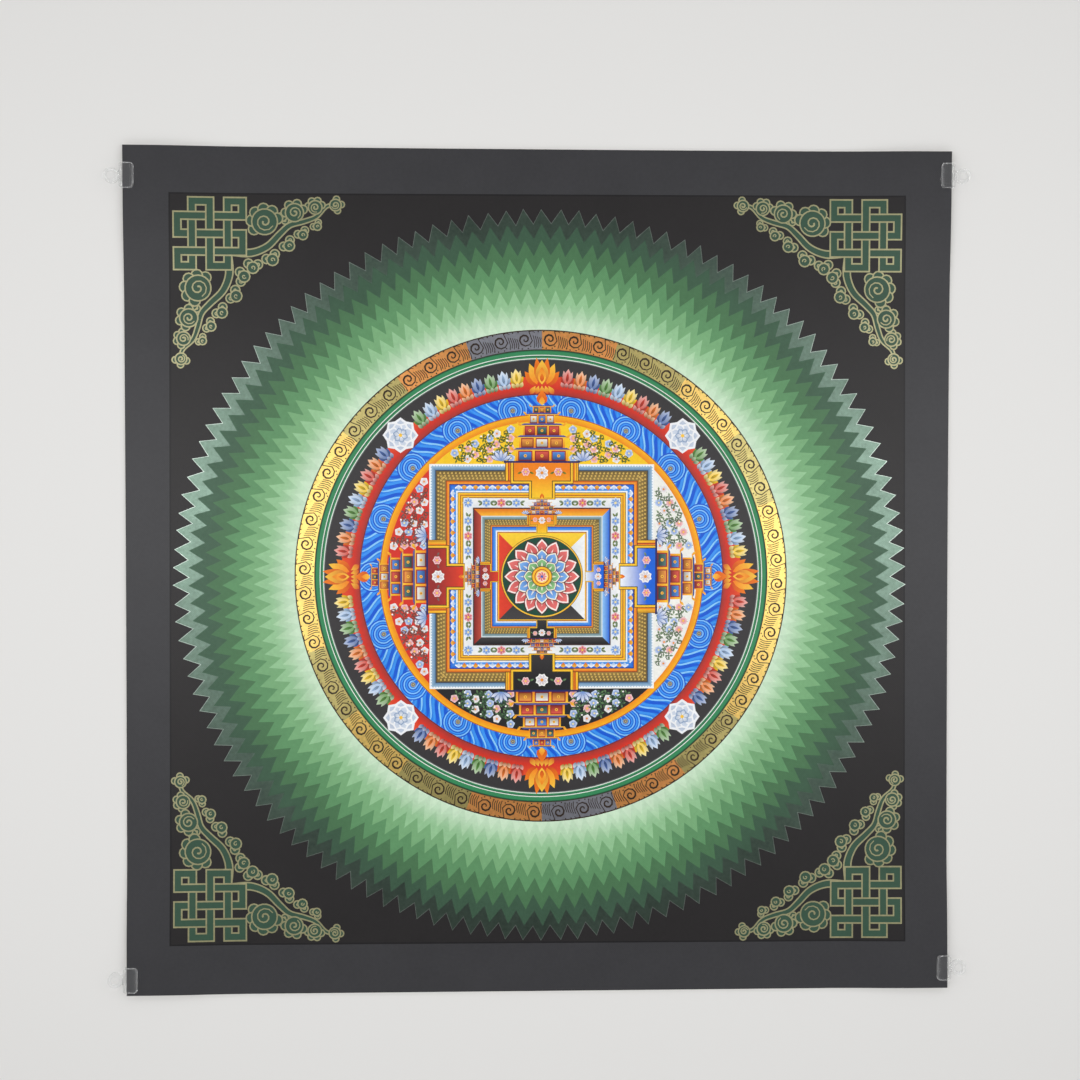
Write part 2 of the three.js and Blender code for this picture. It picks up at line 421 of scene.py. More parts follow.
JEWEL_FLAMES = (
    # foot x and y, tip x and y, width, pigment at the foot and at the tip
    (-5, -7, -13.5, 5, 6.5, JEWEL_DEEP, JEWEL_ORANGE),
    (5, -7, 13.5, 5, 6.5, JEWEL_DEEP, JEWEL_ORANGE),
    (-4, -6, -9.5, 11, 7, JEWEL_ORANGE, JEWEL_GOLD),
    (4, -6, 9.5, 11, 7, JEWEL_ORANGE, JEWEL_GOLD),
    (-2, -5, -4, 15.5, 6.5, JEWEL_DEEP, JEWEL_ORANGE),
    (2, -5, 4, 15.5, 6.5, JEWEL_DEEP, JEWEL_ORANGE),
    (0, -7, 0, 13.5, 11, JEWEL_DEEP, JEWEL_GOLD),
    (0, -6, 0, 8, 6.5, JEWEL_GOLD, JEWEL_ORANGE),
    (0, -4, 0, 3, 3.4, JEWEL_DEEP, JEWEL_ORANGE),
)


def mixed(pigment, second, share):
    return tuple(int(a + share * (b - a)) for a, b in zip(pigment, second))


def petal(base, tip, width, widest=0.55, steps=3):
    share = np.linspace(0, 1, steps + 2)[1:-1]
    swell = np.sin(np.pi * share ** (math.log(0.5) / math.log(widest)))
    axis = tip - base
    across = 1j * axis / abs(axis) * width / 2 * swell
    middle = base + axis * share
    return np.concatenate([[base], middle - across, [tip], (middle + across)[::-1]])


def brush_petal(base, tip, width, root, end, widest=0.55, steps=3):
    paint(petal(base, tip, width, widest, steps), root, melt=(end, base, tip))


def bent_petal(radius, degrees, base, tip, *look):
    brush_petal(*bent(radius, degrees, [base, tip]), *look)


def rosette(centre, size, petals, colours, turn=0.0, width=0.8):
    edge, body, heart = colours
    for number in range(petals):
        way = turned(turn + 360 * number / petals)
        paint(petal(centre, centre + size * way, width * size, 0.62), edge)
        brush_petal(centre + 0.1 * size * way, centre + 0.86 * size * way, 0.66 * width * size,
                    body, mixed(edge, body, 0.4), 0.6)
    paint(circle(centre, 0.24 * size, 8), heart)


def bud(degrees, colour):
    deep, tint = mixed(colour, BLACK, 0.42), mixed(colour, WHITE, 0.6)
    for tip_x, tip_y, width, root, end in (
            (-5.2, 7.6, 3.6, deep, colour), (5.2, 7.6, 3.6, deep, colour),
            (-3.4, 12.4, 3.6, deep, tint), (3.4, 12.4, 3.6, deep, tint), (0, 14.2, 6.6, colour, tint)):
        foot = 0.25 * tip_x + 1j * (1.5 if tip_x else 0.4)
        bent_petal(BUD_RADIUS, degrees, foot, tip_x + 1j * tip_y, width, root, end, 0.46)
    bent_petal(BUD_RADIUS, degrees, 3.4j, 11.4j, 2.3, deep, colour, 0.4)
    for x in (-3.6, 0, 3.6):
        bent_petal(BUD_RADIUS, degrees, 0.5 * x - 1.4j, 1.25 * x + 2.9j, 3.3, deep, tint, 0.5)


for eighth in range(8):
    middle = 22.5 + 45 * eighth
    for number in range(BUDS_BETWEEN):
        place = middle + BUD_STEP * (number - (BUDS_BETWEEN - 1) / 2)
        bud(place, BUD_COLOURS[(number + 3 * eighth) % len(BUD_COLOURS)])

for quarter in range(4):
    lotus = CENTRE + EMBLEM_RADIUS * turned(45 + 90 * quarter)
    paint(circle(lotus, LOTUS_GROUND["radius"], 24), LOTUS_GROUND["pigment"])
    for size, petals, turn, *colours in LOTUS_ROSETTES:
        rosette(lotus, size, petals, colours, 45 * quarter + turn)
    for x, y, tip_x, tip_y, *look in JEWEL_FLAMES:
        bent_petal(EMBLEM_RADIUS, 90 * quarter, x + 1j * y, tip_x + 1j * tip_y, *look, 0.45, 4)
    for x in (-9, -4.5, 0, 4.5, 9):
        bent_petal(EMBLEM_RADIUS, 90 * quarter, x * 0.6 - 7j, x * 1.15 - 13.5j, 4.4,
                   JEWEL_GOLD, JEWEL_DEEP, 0.6, 4)


# Canvas, the garden: the disc behind the palace is parted in four colours, one for each direction,
# and sown with flowers and leaves on winding stems.
QUARTER_GROUNDS = ((250, 204, 34), (216, 48, 36), (34, 33, 36), (240, 240, 234))
QUARTER_LEAVES = (
    # leaf tip, leaf root
    ((122, 140, 48), (70, 84, 36)),
    ((110, 112, 108), (122, 58, 48)),
    ((112, 150, 98), (52, 80, 58)),
    ((132, 156, 116), (80, 98, 76)),
)
FLOWER_PINK = ((248, 222, 220), (218, 96, 116), (250, 206, 70))
FLOWER_BLUE = ((220, 232, 248), (64, 120, 206), (250, 232, 160))
FLOWER_WHITE = ((250, 250, 246), (204, 190, 204), (238, 150, 50))
FLOWER_RED = ((246, 206, 208), (196, 40, 66), (250, 206, 70))
GARDEN = {"first": 25.0, "low": 94.2, "step": 4.3, "row": 4.0, "rows": 7, "columns": 14, "margin": 2.9}
STRAY = {"x": 0.7, "y": 0.6}


def side(quarter, points):
    return CENTRE + np.asarray(points, complex) * 1j ** quarter


def flower(spot, size, colours, turn):
    end, root, heart = colours
    for number in range(5):
        brush_petal(spot, spot + size * turned(turn + 72 * number), size, root, end, 0.62, 2)
    paint(circle(spot, 0.26 * size, 6), heart)


def plant(spot, kind, turn, quarter):
    leaf, leaf_root = QUARTER_LEAVES[quarter]
    for number in range(4):
        brush_petal(spot, spot + 3.7 * turned(turn + 36 + 90 * number), 1.7, leaf_root, leaf, 0.5, 1)
    if kind == 0:
        flower(spot, 3.5, (FLOWER_PINK, FLOWER_WHITE, FLOWER_BLUE)[int(turn) % 3], turn)
    else:
        stroke(spiral(spot + 1.2 * turned(turn), 0.4, 2.3, 1.2, turn, 8), 0.75, leaf_root)
    if kind == 1:
        paint(circle(spot + 2.4 * turned(turn + 90), 0.8, 6), FLOWER_WHITE[0])


for quarter, ground in enumerate(QUARTER_GROUNDS):
    rim = INNER_DISC * turned(45 + 90 * quarter + np.linspace(0, 90, 46))
    paint(CENTRE + np.concatenate([[0], rim]), ground)
    for row in range(GARDEN["rows"]):
        for column in range(GARDEN["columns"]):
            x = GARDEN["first"] + GARDEN["step"] * (column + 0.5 * (row % 2))
            x += hand.uniform(-STRAY["x"], STRAY["x"])
            y = GARDEN["low"] + GARDEN["row"] * row + hand.uniform(-STRAY["y"], STRAY["y"])
            if math.hypot(x, y) > INNER_DISC - GARDEN["margin"]:
                continue
            kind = (column + 2 * row) % 4
            turn = hand.uniform(0, 360)
            if kind == 3:
                continue
            for flank in (-1, 1):
                plant(side(quarter, flank * x + 1j * y), kind, turn, quarter)


# Canvas, the palace: a square house seen from above, its walls drawn as coloured bands one inside the
# other, with a gate and a tiered gatehouse in the middle of each side.
OUTER_WALLS = (
    # half side, pigment at the outer edge, and at the inner edge where it differs
    (90.0, (242, 244, 242)),
    (88.8, (168, 200, 224), (92, 132, 172)),
    (85.2, (58, 66, 78)),
    (84.4, (112, 92, 48), (150, 124, 66)),
    (76.8, (132, 52, 22)),
    (76.2, (232, 112, 26), (248, 164, 46)),
    (74.0, (28, 36, 96)),
    (73.4, (22, 92, 212), (84, 160, 240)),
    (68.6, (242, 244, 242)),
    (67.4, (84, 56, 22)),
    (66.9, (252, 204, 52), (246, 164, 28)),
    (65.2, (140, 36, 26)),
    (64.7, (252, 204, 52), (246, 172, 32)),
    (63.3, (92, 66, 30)),
    (62.8, (246, 246, 244), (228, 232, 238)),
    (55.2, (60, 40, 40)),
)
INNER_WALLS = (
    # as for the outer walls
    (48.6, (214, 226, 230)),
    (47.8, (150, 176, 182), (98, 128, 136)),
    (45.8, (112, 96, 52), (146, 126, 72)),
    (41.2, (140, 56, 22)),
    (40.8, (240, 136, 34), (246, 164, 50)),
    (40.0, (30, 38, 100)),
    (39.6, (26, 98, 216), (96, 168, 242)),
    (36.9, (244, 244, 242)),
    (35.8, (150, 38, 28)),
    (35.2, (250, 196, 56)),
)
FLOOR_COLOURS = (
    # outer edge, inner edge
    ((230, 116, 20), (252, 184, 48)),
    ((134, 36, 34), (190, 74, 58)),
    ((24, 23, 26), (66, 64, 66)),
    ((20, 98, 214), (142, 196, 246)),
)
HALL_COLOURS = (
    ((252, 212, 56), (240, 160, 26)),
    ((228, 66, 42), (170, 34, 32)),
    ((66, 64, 66), (26, 25, 28)),
    ((246, 247, 246), (176, 198, 220)),
)
FLOOR_HALF = 54.2
HALL_HALF = 34.4
NET_GOLD = (218, 182, 96)
NET_DARK = (66, 52, 30)
OUTER_NET = {"half": 80.6, "gate": 26.0, "step": 3.1, "size": 1.9}
INNER_NET = {"half": 43.5, "gate": 11.0, "step": 2.3, "size": 1.3}
PEARL = (246, 248, 252)
PEARLS = {"count": 28, "first": 26.5, "length": 63.0, "line": 88.8, "radius": 0.8}
VALANCE = {"count": 13, "first": 12.6, "step": 4.5, "top": 73.2, "tip": 68.9, "width": 4.2}
VALANCE_COLOURS = ((PEARL, (148, 184, 232)), ((250, 196, 60), (214, 84, 36)))
BEADS = {"line": 71.0, "radius": 0.75}
FRIEZE_LINE = 59.0
FRIEZE_FLOWERS = ((20.5, FLOWER_BLUE), (32.5, FLOWER_RED), (44.5, FLOWER_BLUE))
FRIEZE_LEAVES = (
    # reach sideways and up, width, tip and root
    (4.2, 1.6, 2.0, QUARTER_LEAVES[3]),
    (3.4, -2.2, 1.6, QUARTER_LEAVES[0]),
)


def side_petal(quarter, base, tip, *look):
    brush_petal(*side(quarter, [base, tip]), *look)


def box(quarter, x0, x1, y0, y1, pigment, second=None):
    corners = side(quarter, [x0 + 1j * y0, x1 + 1j * y0, x1 + 1j * y1, x0 + 1j * y1])
    paint(corners, pigment, melt=(second or pigment, *side(quarter, [1j * y0, 1j * y1])))


def wall(quarter, outer, inner, pigment, second):
    corners = [-outer + 1j * outer, outer + 1j * outer, inner + 1j * inner, -inner + 1j * inner]
    paint(side(quarter, corners), pigment, melt=(second, *side(quarter, [1j * outer, 1j * inner])))


def walls(table, innermost):
    halves = [row[0] for row in table] + [innermost]
    for (outer, *pigments), inner in zip(table, halves[1:]):
        for quarter in range(4):
            wall(quarter, outer, inner, pigments[0], pigments[-1])


def net(half, gate, step, size):
    count = int((half + size - gate) // step)
    for quarter in range(4):
        for row in (-1, 0, 1):
            for number in range(count):
                x = gate + (number + 0.5 + 0.25 * row) * step
                for flank in (-1, 1):
                    middle = flank * x + 1j * (half + 1.12 * size * row)
                    lozenge = middle + 0.62 * size * np.array([1, 0.8j, -1, -0.8j])
                    start, end = side(quarter, [middle, lozenge[0]])
                    paint(side(quarter, lozenge), NET_GOLD, melt=(NET_DARK, start, end))


walls(OUTER_WALLS, FLOOR_HALF)
net(**OUTER_NET)
for quarter in range(4):
    for number in range(PEARLS["count"]):
        x = PEARLS["first"] + PEARLS["length"] * (number + 0.5) / PEARLS["count"]
        for flank in (-1, 1):
            paint(circle(side(quarter, flank * x + 1j * PEARLS["line"]), PEARLS["radius"], 6), PEARL)
    for flank in (-1, 1):
        for number in range(VALANCE["count"]):
            x = flank * (VALANCE["first"] + VALANCE["step"] * number)
            side_petal(quarter, x + 1j * VALANCE["top"], x + 1j * VALANCE["tip"], VALANCE["width"],
                       *VALANCE_COLOURS[number % 2], 0.3)
            bead = x + flank * VALANCE["step"] / 2 + 1j * BEADS["line"]
            paint(circle(side(quarter, bead), BEADS["radius"], 6), PEARL)
        for x, colours in FRIEZE_FLOWERS:
            for lean in (-1, 1):
                root = flank * x + lean * 2.8 + 1j * FRIEZE_LINE
                for sideways, up, width, greens in FRIEZE_LEAVES:
                    side_petal(quarter, root, root + lean * sideways + 1j * up, width, *greens[::-1])
            rosette(side(quarter, flank * x + 1j * FRIEZE_LINE), 3.9, 6, colours, 30, 0.9)
    rosette(side(quarter, FRIEZE_LINE * (1 + 1j)), 4.4, 8, FLOWER_BLUE)

for quarter, pigments in enumerate(FLOOR_COLOURS):
    wall(quarter, FLOOR_HALF, INNER_WALLS[0][0], *pigments)
walls(INNER_WALLS, HALL_HALF)
net(**INNER_NET)
for quarter, pigments in enumerate(HALL_COLOURS):
    wall(quarter, HALL_HALF, 0.0, *pigments)

# Gates and gatehouses: a stepped opening with gold posts, then roofs that grow smaller as they rise
GATE_GOLD = (252, 198, 48)
GATE_AMBER = (236, 132, 24)
GATE_RED = (176, 48, 28)
GATE_SHADOW = (92, 60, 20)
POST_GOLD = (250, 174, 34)
POST_STRIPES = (
    # start and end as shares of the post's width, pigment
    (0.28, 0.42, GATE_RED),
    (0.42, 0.62, GATE_AMBER),
    (0.8, 0.88, (150, 84, 20)),
)
GATE_LINES = (
    # share of the post's width past the opening, pigment
    (0.42, GATE_SHADOW),
    (0.34, GATE_GOLD),
    (0.1, (60, 60, 30)),
)
GATE_GROUNDS = (
    # at the outer and at the inner end
    ((242, 132, 20), (252, 204, 44)),
    ((150, 42, 40), (228, 62, 38)),
    ((30, 29, 32), (52, 50, 52)),
    ((16, 100, 220), (238, 244, 248)),
)
ROOF_NAVY = (34, 36, 96)
ROOF_BLUE = (86, 96, 168)
ROOF_GOLD = (244, 188, 66)
STOREY_REDS = ((112, 28, 36), (176, 52, 44))
FAN_LEANS = (62, -62, 32, -32, 0)
FAN_EDGE = (54, 84, 150)
FAN_BLUE = (96, 138, 208)
ROOF_BLOCKS = ((214, 60, 44), (58, 122, 210), (240, 236, 226), (238, 140, 40), (52, 96, 92))
GATES = (
    # wide half, narrow half, inner edge, step, outer edge, post width, roof tiers as (half width, height)
    (22.5, 8.0, 63.0, 76.8, 91.0, 6.4, ((20, 10.5), (17.5, 10.0), (14.5, 9.5), (10, 8.5), (7, 6))),
    (9.4, 3.6, 35.0, 41.6, 49.4, 2.4, ((11.5, 3.6), (9, 3.2), (6.5, 2.8), (4.2, 2.4))),
)


def tee(quarter, wide, narrow, inner, step, outer, pigment, second=None, grow=0.0):
    w, n = wide + grow, narrow + grow
    half = [w + 1j * outer, w + 1j * (step - grow), n + 1j * (step - grow), n + 1j * (inner - 0.5 * grow)]
    paint(side(quarter, half + [-p.conjugate() for p in half[::-1]]), pigment,
          melt=(second or pigment, *side(quarter, [0.5j * (step + outer), 1j * inner])))


def gatehouse(quarter, foot, tiers):
    level = foot
    for tier, (half, height) in enumerate(tiers):
        top = level + height
        eave = top - 0.22 * height
        box(quarter, -half, half, level, eave, *STOREY_REDS)
        blocks = max(3, 2 * int(half / height) + 1)
        pitch = 2 * half / blocks
        for number in range(blocks):
            x = -half + (number + 0.5) * pitch
            colour = ROOF_BLOCKS[(abs(number - blocks // 2) + 2 * tier + quarter) % len(ROOF_BLOCKS)]
            box(quarter, x - 0.36 * pitch, x + 0.36 * pitch, level + 0.1 * height, level + 0.68 * height,
                mixed(colour, BLACK, 0.35), mixed(colour, WHITE, 0.15))
            jewel = side(quarter, x + 1j * (level + 0.39 * height))
            paint(circle(jewel, 0.13 * height, 6), ROOF_GOLD)
            paint(circle(jewel, 0.06 * height, 4), GATE_RED)
        for number in range(blocks + 1):
            x = -half + number * pitch
            box(quarter, x - 0.07 * pitch, x + 0.07 * pitch, level, eave, GATE_AMBER, GATE_GOLD)
        low = half + 0.42 * height
        roof = [-low + 1j * eave, low + 1j * eave, half + 1j * top, -half + 1j * top]
        paint(side(quarter, roof), ROOF_NAVY, melt=(ROOF_BLUE, *side(quarter, [1j * eave, 1j * top])))
        box(quarter, -low, low, eave, eave + 0.08 * height, ROOF_GOLD)
        for flank in (-1, 1):
            root = flank * (low - 0.2 * height) + 1j * eave
            tip = flank * (low + 0.16 * height) + 1j * (eave + 0.32 * height)
            side_petal(quarter, root, tip, 0.2 * height, GATE_AMBER, GATE_GOLD)
        level = top
    return level


for wide, narrow, inner, step, outer, post, tiers in GATES:
    for quarter in range(4):
        far, near = GATE_GROUNDS[quarter]
        for x in (-wide - post, wide):
            box(quarter, x - 0.1 * post, x + 1.1 * post, step - 0.1 * post, outer, GATE_SHADOW)
            box(quarter, x, x + post, step, outer, GATE_GOLD, POST_GOLD)
            for start, end, pigment in POST_STRIPES:
                box(quarter, x + start * post, x + end * post, step, outer, pigment)
        for share, pigment in GATE_LINES:
            tee(quarter, wide, narrow, inner, step, outer, pigment, grow=share * post)
        tee(quarter, wide, narrow, inner, step, outer, far, near)
        box(quarter, -wide - 1.25 * post, wide + 1.25 * post, outer, outer + 0.24 * post, ROOF_NAVY)
        deep = outer - step
        rosette(side(quarter, 1j * (step + 0.44 * deep)), 0.38 * deep, 8, FLOWER_WHITE, 22.5, 0.7)
        for x in (-0.58 * wide, 0.58 * wide):
            rosette(side(quarter, x + 1j * (step + 0.5 * deep)), 0.25 * deep, 6, FLOWER_PINK)
            for lean in (-1, 1):
                root = x + 0.2 * lean * deep + 1j * (step + 0.5 * deep)
                side_petal(quarter, root, root + (0.26 * lean - 0.12j) * deep, 0.12 * deep,
                           *QUARTER_LEAVES[quarter][::-1])
        peak = gatehouse(quarter, outer + 0.24 * post, tiers)
        height = tiers[-1][1]
        for tall, width, flame in ((2.0, 1.5, JEWEL_DEEP), (1.2, 0.8, JEWEL_GOLD)):
            side_petal(quarter, 1j * peak, 1j * (peak + tall * height), width * height,
                       flame, JEWEL_ORANGE, 0.4)
        for flank in (-1, 1):
            root = flank * (wide + 1.6 * post) + 1j * (outer + 0.2 * post)
            for lean in FAN_LEANS:
                tip = root + 1.5 * post * turned(90 + lean)
                paint(petal(*side(quarter, [root, tip]), 0.56 * post, 0.6), FAN_EDGE)
                side_petal(quarter, root, 0.06 * root + 0.94 * tip, 0.42 * post, FAN_BLUE, LOTUS_WHITE, 0.6)


# Canvas, the lotus at the heart of the palace: three rings of petals round a gold seat. Each petal has
# a dark line, a pale edge and a body that melts from a deep root to a lighter tip.
LOTUS_CIRCLES = ((33.0, (96, 62, 22)), (32.6, (250, 196, 60)), (31.6, (24, 74, 58)))
PETAL_LINE = (74, 20, 30)
LOTUS_RINGS = (
    # tip radius, petals, width, edge, pigment at the root and near the tip
    (31.0, 16, 12.0, (250, 236, 230), (150, 20, 40), (238, 120, 116)),
    (22.5, 12, 11.0, (250, 240, 220), (16, 66, 170), (128, 184, 244)),
    (15.0, 8, 10.5, (250, 240, 226), (26, 96, 60), (150, 206, 140)),
)
SEAT = ((8.4, (96, 40, 24)), (7.8, (250, 190, 46)), (6.0, (200, 80, 30)), (5.2, (252, 214, 96)))
SEAT_FLOWER = ((250, 226, 214), (206, 50, 56), (40, 96, 190))

for radius, pigment in LOTUS_CIRCLES:
    paint(circle(CENTRE, radius, 64), pigment)
for tip, petals, width, edge, root, end in LOTUS_RINGS:
    for number in range(petals):
        way = turned(90 + 360 * number / petals)
        base = CENTRE + 0.3 * tip * way
        paint(petal(base, CENTRE + tip * way, width, 0.6, 6), PETAL_LINE)
        paint(petal(base, CENTRE + 0.97 * tip * way, 0.9 * width, 0.6, 6), edge)
        brush_petal(base, CENTRE + 0.92 * tip * way, 0.76 * width, root, end, 0.6, 5)
        brush_petal(base, CENTRE + 0.78 * tip * way, 0.16 * width, end, edge, 0.5, 3)
for radius, pigment in SEAT:
    paint(circle(CENTRE, radius, 32), pigment)
rosette(CENTRE, 4.6, 8, SEAT_FLOWER)


# Canvas, the corner ornaments: an endless knot of green bands edged with gold fills each corner of the
# field, with curling clouds that run out from it along both edges. The four are mirror images.
KNOT = {"lines": (18.0, 32.0, 46.0), "low": 6.5, "high": 57.5, "band": 7.4, "gold": 1.25}
CLOUD_GREEN = (56, 84, 68)
GILDED = {"pigment": (176, 172, 133), "gilt": 0.45}
CLOUD_LINE = 1.15
CLOUD_STEM = (50 + 46j, 64 + 47j, 77 + 42j, 87 + 32j, 95 + 25j, 106 + 22j, 116 + 18j, 124 + 10j, 134 + 8j)
VOLUTES = (
    # along, away from the edge, radius, first and last direction of its lobes, lobes, way that it curls
    (131.0, 8.8, 4.6, -80, 70, 3, 1),
    (115.0, 10.8, 5.4, -170, -20, 4, -1),
    (98.6, 15.0, 7.2, -180, -20, 4, 1),
    (75.0, 22.4, 10.2, -215, -15, 6, -1),
)
PUFFS = (
    # along, away from the edge, size, direction in which it swells
    (66.0, 54.8, 4.6, 95),
    (79.2, 49.0, 4.6, 60),
    (91.8, 38.6, 4.3, 45),
    (103.6, 29.8, 3.8, 60),
    (115.0, 23.8, 3.1, 50),
    (88.2, 21.4, 3.6, -75),
)


def corner_map(corner):
    across = -np.sign(corner.real)
    down = -np.sign(corner.imag)
    return lambda p: corner + across * np.real(p) + 1j * down * np.imag(p)


def edged(outline_of, size, place):
    paint(place(outline_of(size + CLOUD_LINE / 2)), **GILDED)
    paint(place(outline_of(size - CLOUD_LINE / 2)), CLOUD_GREEN)


def band_piece(start, end, width, reach):
    way = (end - start) / abs(end - start)
    start, end = start - reach * way, end + reach * way
    across = 1j * way * width / 2
    return np.array([start - across, end - across, end + across, start + across])


def endless_knot(place):
    (a, b, c), low, high = KNOT["lines"], KNOT["low"], KNOT["high"]
    turns = [a + 1j * low, a + 1j * high, low + 1j * high, low + 1j * c, high + 1j * c, high + 1j * b,
             low + 1j * b, low + 1j * a, high + 1j * a, high + 1j * low, c + 1j * low, c + 1j * high,
             b + 1j * high, b + 1j * low]
    width, fill = KNOT["band"], KNOT["band"] - 2 * KNOT["gold"]
    pieces = list(zip(turns, turns[1:] + turns[:1]))
    for start, end in pieces:
        paint(place(band_piece(start, end, width, width / 2)), **GILDED)
    for start, end in pieces:
        paint(place(band_piece(start, end, fill, fill / 2)), CLOUD_GREEN)
    for i, x in enumerate((a, b, c)):
        for j, y in enumerate((a, b, c)):
            way = 1 if (i + j) % 2 == 0 else 1j
            start, end = x + 1j * y - way * width / 2, x + 1j * y + way * width / 2
            paint(place(band_piece(start, end, width, 0)), **GILDED)
            paint(place(band_piece(start, end, fill, 0.3)), CLOUD_GREEN)


def flowing(knots, steps=5):
    knots = np.array([knots[0], *knots, knots[-1]])
    share = np.linspace(0, 1, steps, endpoint=False)
    pieces = []
    for a, b, c, d in zip(knots, knots[1:], knots[2:], knots[3:]):
        pieces.append(b + share * (c - a) / 2 + share ** 2 * (a - 2.5 * b + 2 * c - d / 2)
                      + share ** 3 * (-a + 3 * b - 3 * c + d) / 2)
    return np.concatenate(pieces + [knots[-1:]])


def cloud_arm(place):
    stem = flowing(CLOUD_STEM)
    taper = np.linspace(7.4, 3.2, len(stem))
    stroke(place(stem), taper, **GILDED)
    stroke(place(stem), taper - 2 * CLOUD_LINE, CLOUD_GREEN)
    for along, away, size, swell in PUFFS:
        for lean, share in ((-75, 0.8), (75, 0.8), (0, 1.0)):
            puff = along + 1j * away + 0.85 * size * turned(swell + lean)
            edged(lambda radius: circle(puff, radius, 12), share * size, place)
            curl = spiral(puff, 0.1 * size, 0.42 * share * size, 0.9, swell, 8)
            stroke(place(curl), 0.8, **GILDED)
    for along, away, radius, first, last, lobes, curl in VOLUTES:
        middle = along + 1j * away
        for direction in np.linspace(first, last, lobes):
            lobe = middle + radius * turned(direction)
            edged(lambda size: circle(lobe, size, 12), 0.34 * radius + 1.0, place)
        edged(lambda size: circle(middle, size, 22), radius, place)
        coil = spiral(middle, 0.1 * radius, 0.72 * radius, curl * 1.5, first + 60, 17)
        stroke(place(coil), CLOUD_LINE * np.linspace(1.3, 0.7, 17), **GILDED)


for corner in FIELD_CORNERS:
    place = corner_map(corner)
    for arm in (place, lambda p: place(np.imag(p) + 1j * np.real(p))):
        cloud_arm(arm)
    endless_knot(place)


# Canvas, the sheet itself: the shapes become one layer of faces with no overlap, on cloth that lies flat
# and rises a little over the clips' lower jaws. The back is the bare side of the primed cotton.
CLIPS = (
    # name, side of the canvas, height on it
    ("clip_top_left", -1, 313.5),
    ("clip_top_right", 1, 318.0),
    ("clip_bottom_left", -1, -325.0),
    ("clip_bottom_right", 1, -321.0),
)
LIFT = {"height": 1.95, "level_x": 19.0, "level_y": 20.0, "reach": 80.0}
LIFT_GRID = 8.0
LIFT_SPREAD = 24.0
HALVINGS = 7
BACK_GRID = 22.0
MERGE = 1e-5
SHARP_DEGREES = 30
THREADS_PER_METRE = 1300.0
PATCH_SCALE = 26.0
STREAK_SCALE = 420.0
UNEVEN = {"pigment": 0.22, "metal": 0.7}
DULL = {"pigment": 0.43, "metal": 0.26}
# Sockets of a Mix node that mixes colours
MIX_FIRST, MIX_SECOND, MIX_RESULT = 6, 7, 2
COTTON = (
    # material, colour, unevenness, roughness
    ("cotton_back", (0.66, 0.6, 0.49, 1), 0.3, 0.85),
    ("cut_edge", (0.6, 0.57, 0.5, 1), 0.5, 0.8),
)
FRONT, BACK, RIM = range(3)
# Start and width on the texture map for the front, the back and the rim, then start and height for all
MAP_ACROSS = ((0.005, 0.92), (0.945, 0.05), (0.932, 0.006))
MAP_UP = (0.005, 0.94)


def lift(points, wider=0.0):
    best = np.zeros(len(points))
    for _, side_of, height in CLIPS:
        away_x = np.maximum(0, abs(points.real - side_of * CANVAS["width"] / 2) - LIFT["level_x"])
        away_y = np.maximum(0, abs(points.imag - height) - LIFT["level_y"])
        share = np.minimum(1, np.hypot(away_x, away_y) / (LIFT["reach"] + wider))
        best = np.maximum(best, LIFT["height"] * (1 - share ** 2 * (3 - 2 * share)))
    return best


def grid_inside(step, margin):
    x = np.arange(-CANVAS["width"] / 2 + margin, CANVAS["width"] / 2 - margin / 2, step)
    y = np.arange(-CANVAS["height"] / 2 + margin, CANVAS["height"] / 2 - margin / 2, step)
    return (x[:, None] + 1j * y[None, :]).ravel()


def triangulate(points, edges, rounds):
    found = delaunay_2d_cdt([Vector((p.real, p.imag)) for p in points], edges, rounds, 0, MERGE, True)
    kept = [(face, max(owners)) for face, owners in zip(found[2], found[5]) if owners]
    corners = np.array([complex(*v) for v in found[0]])
    return corners, np.array([face for face, _ in kept]), np.array([owner for _, owner in kept])


def edges_of(faces):
    pairs = np.sort(np.concatenate([faces[:, [0, 1]], faces[:, [1, 2]], faces[:, [2, 0]]]), axis=1)
    return np.unique(pairs, axis=0, return_inverse=True, return_counts=True)


# The outlines cut each other up, and each piece goes to the shape that was painted last
outlines = [shape["outline"] for shape in painted]
starts = np.cumsum([0] + [len(outline) for outline in outlines])
rounds = [list(range(start, end)) for start, end in zip(starts, starts[1:])]
cuts, cut_faces, cut_owner = triangulate(np.concatenate(outlines), [], rounds)

# Edges that later paint hides are dropped, and what is left is filled again with fewer triangles
looks = [tuple(value for key, value in shape.items() if key != "outline") for shape in painted]
first_alike = {}
alike = np.array([first_alike.setdefault(look, number) for number, look in enumerate(looks)])
cut_owner = alike[cut_owner]
edges, edge_of, _ = edges_of(cut_faces)
lowest = np.full(len(edges), len(painted))
highest = np.full(len(edges), -1)
np.minimum.at(lowest, edge_of, np.tile(cut_owner, 3))
np.maximum.at(highest, edge_of, np.tile(cut_owner, 3))
seen, ends = np.unique(edges[lowest < highest], return_inverse=True)
spots, pairs = cuts[seen], ends.reshape(-1, 2)

